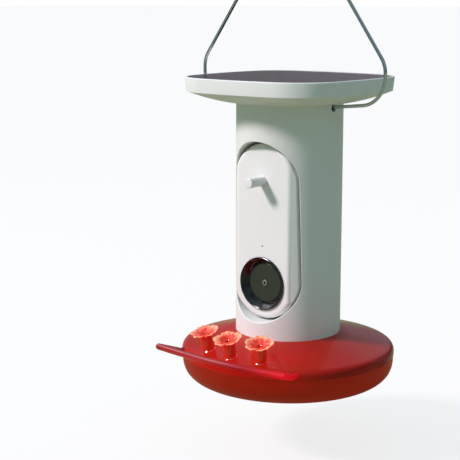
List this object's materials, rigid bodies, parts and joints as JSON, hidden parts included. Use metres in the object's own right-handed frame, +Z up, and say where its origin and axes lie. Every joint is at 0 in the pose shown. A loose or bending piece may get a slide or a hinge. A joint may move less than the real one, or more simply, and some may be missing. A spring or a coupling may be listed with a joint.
{
  "type": "smart bird feeder",
  "caption": "Hanging nectar feeder: a round saucer with flower ports and a perch, a column with a slide-out camera module, a square solar roof and a wire bail.",
  "frame": {"origin": "centre of the flat under the bowl", "axes": "+Z is up along the column, the camera looks along -Y, +X is to the right seen from the front"},
  "size_m": [0.1972, 0.1995, 0.4121],
  "materials": {
    "white_shell": "fine satin moulding, white",
    "module_shell": "satin moulding, white",
    "red_saucer": "satin moulding, red",
    "clear_red": "polished translucent moulding, red",
    "perch_red": "polished translucent rod, red",
    "wire": "drawn wire",
    "screw_steel": "turned and passivated",
    "rubber_seal": "moulded, matt",
    "contact_brass": "turned, plated",
    "black_plastic": "fine matt moulding",
    "black_gloss": "polished moulding",
    "smoked_window": "polished, smoked",
    "circuit_board": "green solder mask",
    "solar_silicon": "dark silicon",
    "cover_glass": "textured solar glass",
    "cell_sleeve": "shrink sleeve"
  },
  "bodies": {
    "column": {"lid": "red_saucer", "lid_screws": "screw_steel", "seal_ring": "rubber_seal", "column_shell": "white_shell", "camera_bay": "white_shell", "bay_screws": "screw_steel", "contact_block": "black_plastic", "contact_pins": "contact_brass", "roof_tray": "white_shell", "roof_screws": "screw_steel", "solar_board": "circuit_board", "solar_cells": "solar_silicon", "solar_glass": "cover_glass", "junction_box": "black_plastic", "solar_lead": "rubber_seal"},
    "bowl": {"bowl": "red_saucer"},
    "bail": {"bail": "wire"},
    "perch": {"perch": "perch_red"},
    "port_left": {"flower_port_left": "clear_red"},
    "port_centre": {"flower_port_centre": "clear_red"},
    "port_right": {"flower_port_right": "clear_red"},
    "camera_module": {"module_front_cover": "module_shell", "module_rear_cover": "module_shell", "module_gasket": "rubber_seal", "module_screws": "screw_steel", "contact_pads": "contact_brass", "lens_bezel": "black_gloss", "lens_window": "smoked_window", "lens_barrel": "black_plastic", "sensor_board": "circuit_board", "main_board": "circuit_board", "battery_cradle": "black_plastic", "battery_cells": "cell_sleeve", "mic_seal": "rubber_seal", "pull_knob": "module_shell", "knob_screw": "screw_steel"}
  },
  "joints": [
    {"name": "bail_swing", "type": "hinge", "parent": "column", "child": "bail", "pos_m": [0, 0, 0.2478], "axis": [1, 0, 0], "range_deg": [-160, 160]},
    {"name": "module_slide", "type": "slide", "parent": "column", "child": "camera_module", "axis": [0, 1, 0], "range_m": [-0.06, 0]},
    {"name": "bowl_slide", "type": "slide", "parent": "column", "child": "bowl", "axis": [0, 0, -1], "range_m": [0, 0.05]},
    {"name": "port_left_slide", "type": "slide", "parent": "column", "child": "port_left", "axis": [-0.0899, -0.2391, 0.9668], "range_m": [0, 0.03]},
    {"name": "port_centre_slide", "type": "slide", "parent": "column", "child": "port_centre", "axis": [0, -0.2554, 0.9668], "range_m": [0, 0.03]},
    {"name": "port_right_slide", "type": "slide", "parent": "column", "child": "port_right", "axis": [0.0899, -0.2391, 0.9668], "range_m": [0, 0.03]},
    {"name": "perch_slide", "type": "slide", "parent": "column", "child": "perch", "axis": [0, -1, 0], "range_m": [0, 0.015]}
  ]
}
